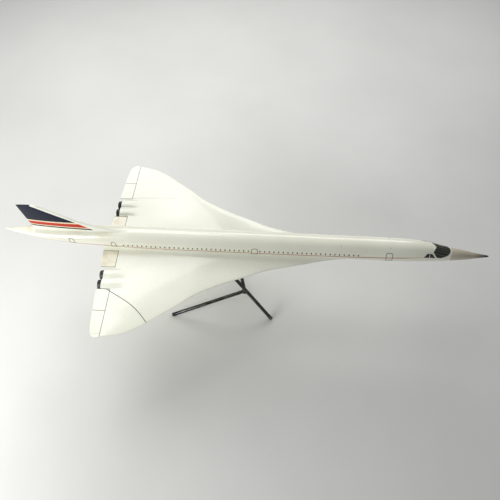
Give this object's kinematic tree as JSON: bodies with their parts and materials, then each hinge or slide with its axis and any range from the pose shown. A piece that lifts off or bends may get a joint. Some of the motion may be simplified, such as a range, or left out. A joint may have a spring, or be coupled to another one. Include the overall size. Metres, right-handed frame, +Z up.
{
  "type": "desktop airliner model",
  "caption": "Slender delta-wing airliner desk model that swivels on, and lifts off, the pin of a rod tripod stand.",
  "frame": {"origin": "on the table, below the middle of the model's overall box", "axes": "+X to the nose along the cabin axis, +Y to the port wing tip, +Z up from the table"},
  "size_m": [0.856, 0.3556, 0.2735],
  "materials": {
    "white_hull": "gloss white paint over the moulded shell",
    "cream_nose": "slightly yellowed gloss white",
    "probe_black": "satin black",
    "dark_glazing": "gloss black",
    "fin_paint": "gloss white with painted colour fields",
    "white_wing": "gloss white paint",
    "aged_white": "yellowed gloss white",
    "white_nacelle": "gloss white paint",
    "nozzle_black": "satin black",
    "inner_wood": "sanded plywood",
    "screw_steel": "plain steel",
    "socket_brass": "turned",
    "washer_nylon": "natural nylon",
    "rod_chrome": "dark chrome, lightly tarnished",
    "collar_chrome": "dark chrome",
    "black_steel": "blackened",
    "hub_metal": "tarnished",
    "tip_rubber": "matte black"
  },
  "bodies": {
    "stand": {"mast": "rod_chrome", "mast_collar": "collar_chrome", "collar_screw": "black_steel", "leg_port": "rod_chrome", "leg_starboard": "rod_chrome", "hub_ball": "hub_metal", "hub_screw": "screw_steel", "tip_front": "tip_rubber", "tip_port": "tip_rubber", "tip_starboard": "tip_rubber"},
    "washer": {"swivel_washer": "washer_nylon"},
    "aircraft": {"fuselage_shell": "white_hull", "nose_cone": "cream_nose", "nose_probe": "probe_black", "windscreen": "dark_glazing", "side_panes": "dark_glazing", "tail_cone": "white_hull", "fin": "fin_paint", "wing_port": "white_wing", "wing_starboard": "white_wing", "wing_spar": "inner_wood", "elevon_inner_port": "aged_white", "elevon_middle_port": "white_wing", "elevon_outer_port": "white_wing", "elevon_inner_starboard": "aged_white", "elevon_middle_starboard": "white_wing", "elevon_outer_starboard": "white_wing", "nacelle_port": "white_nacelle", "nacelle_starboard": "white_nacelle", "nozzles_port": "nozzle_black", "nozzles_starboard": "nozzle_black", "belly_block": "inner_wood", "block_screws": "screw_steel", "socket_bush": "socket_brass"}
  },
  "joints": [
    {"name": "swivel", "type": "hinge", "parent": "stand", "child": "washer", "pos_m": [-0.067, 0, 0.162], "axis": [0, 0, 1], "continuous": true},
    {"name": "lift_off", "type": "slide", "parent": "washer", "child": "aircraft", "axis": [0, 0, 1], "range_m": [0, 0.03]}
  ]
}
